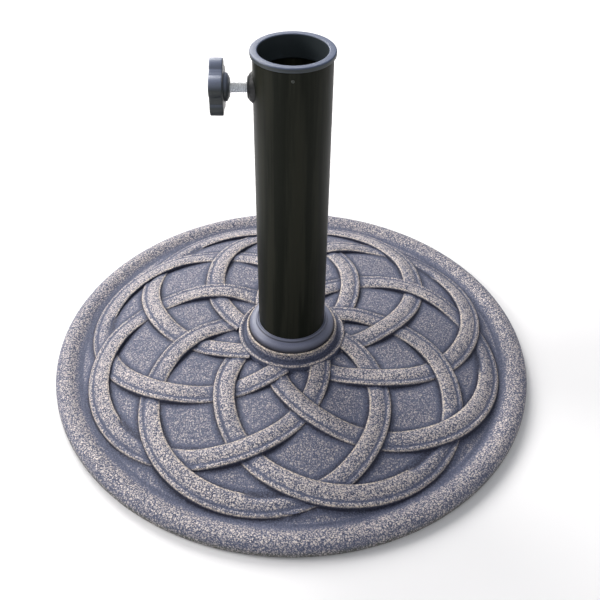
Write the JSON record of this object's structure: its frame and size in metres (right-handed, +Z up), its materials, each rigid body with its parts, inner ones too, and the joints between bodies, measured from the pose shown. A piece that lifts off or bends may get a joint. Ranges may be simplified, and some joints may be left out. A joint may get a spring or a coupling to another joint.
{
  "type": "parasol base",
  "caption": "Round cast iron parasol base with interlaced knotwork relief, a black steel tube, plastic collar and trim ring, and a side clamp screw with a star knob.",
  "frame": {"origin": "centre of the footprint on the ground, on the tube's axis", "axes": "+Z up along the tube and the pole, the clamp screw points along -X from the tube, -Y is the front"},
  "size_m": [0.42, 0.42, 0.295],
  "materials": {
    "hammered_iron": "hammered blue-grey paint with pale gilt rubbed over the raised work",
    "tube_paint": "satin black powder coat",
    "weld_paint": "black paint over rough weld",
    "nut_paint": "black paint, worn at the mouth",
    "trim_plastic": "satin moulded blue-grey",
    "collar_plastic": "satin moulded blue-grey",
    "bush_plastic": "matt black moulded",
    "knob_plastic": "finely textured charcoal",
    "cap_plastic": "finely textured charcoal",
    "pad_nylon": "natural nylon",
    "zinc_screw": "bright zinc plated",
    "zinc_bolt": "zinc plated",
    "spring_steel": "oiled black spring steel",
    "plain_steel": "plain mild steel",
    "foot_rubber": "moulded black rubber",
    "gasket_rubber": "cut black rubber sheet",
    "rivet_steel": "worn black paint"
  },
  "bodies": {
    "stand": {"base_casting": "hammered_iron", "foot_pads": "foot_rubber", "foot_washers": "zinc_bolt", "foot_screws": "zinc_bolt", "centre_bolt": "zinc_bolt", "spring_washer": "spring_steel", "clamp_plate": "plain_steel", "hub_gasket": "gasket_rubber", "stand_tube": "tube_paint", "tube_plug": "plain_steel", "plug_nut": "plain_steel", "lower_bush": "bush_plastic", "trim_ring": "trim_plastic", "collar": "collar_plastic", "collar_rivets": "rivet_steel", "clamp_nut": "nut_paint", "nut_weld": "weld_paint"},
    "pad": {"pressure_pad": "pad_nylon"},
    "clamp": {"clamp_screw": "zinc_screw", "knob": "knob_plastic", "knob_cap": "cap_plastic"}
  },
  "joints": [
    {"name": "clamp_travel", "type": "slide", "parent": "stand", "child": "pad", "axis": [1, 0, 0], "range_m": [-0.0038, 0.0121]},
    {"name": "clamp_turn", "type": "hinge", "parent": "pad", "child": "clamp", "pos_m": [-0.04, 0, 0.2665], "axis": [1, 0, 0], "range_deg": [-1080, 3456]}
  ],
  "couplings": [
    {"joint": "clamp_travel", "follows": "clamp_turn", "m_per_rad": 0.00019894}
  ]
}
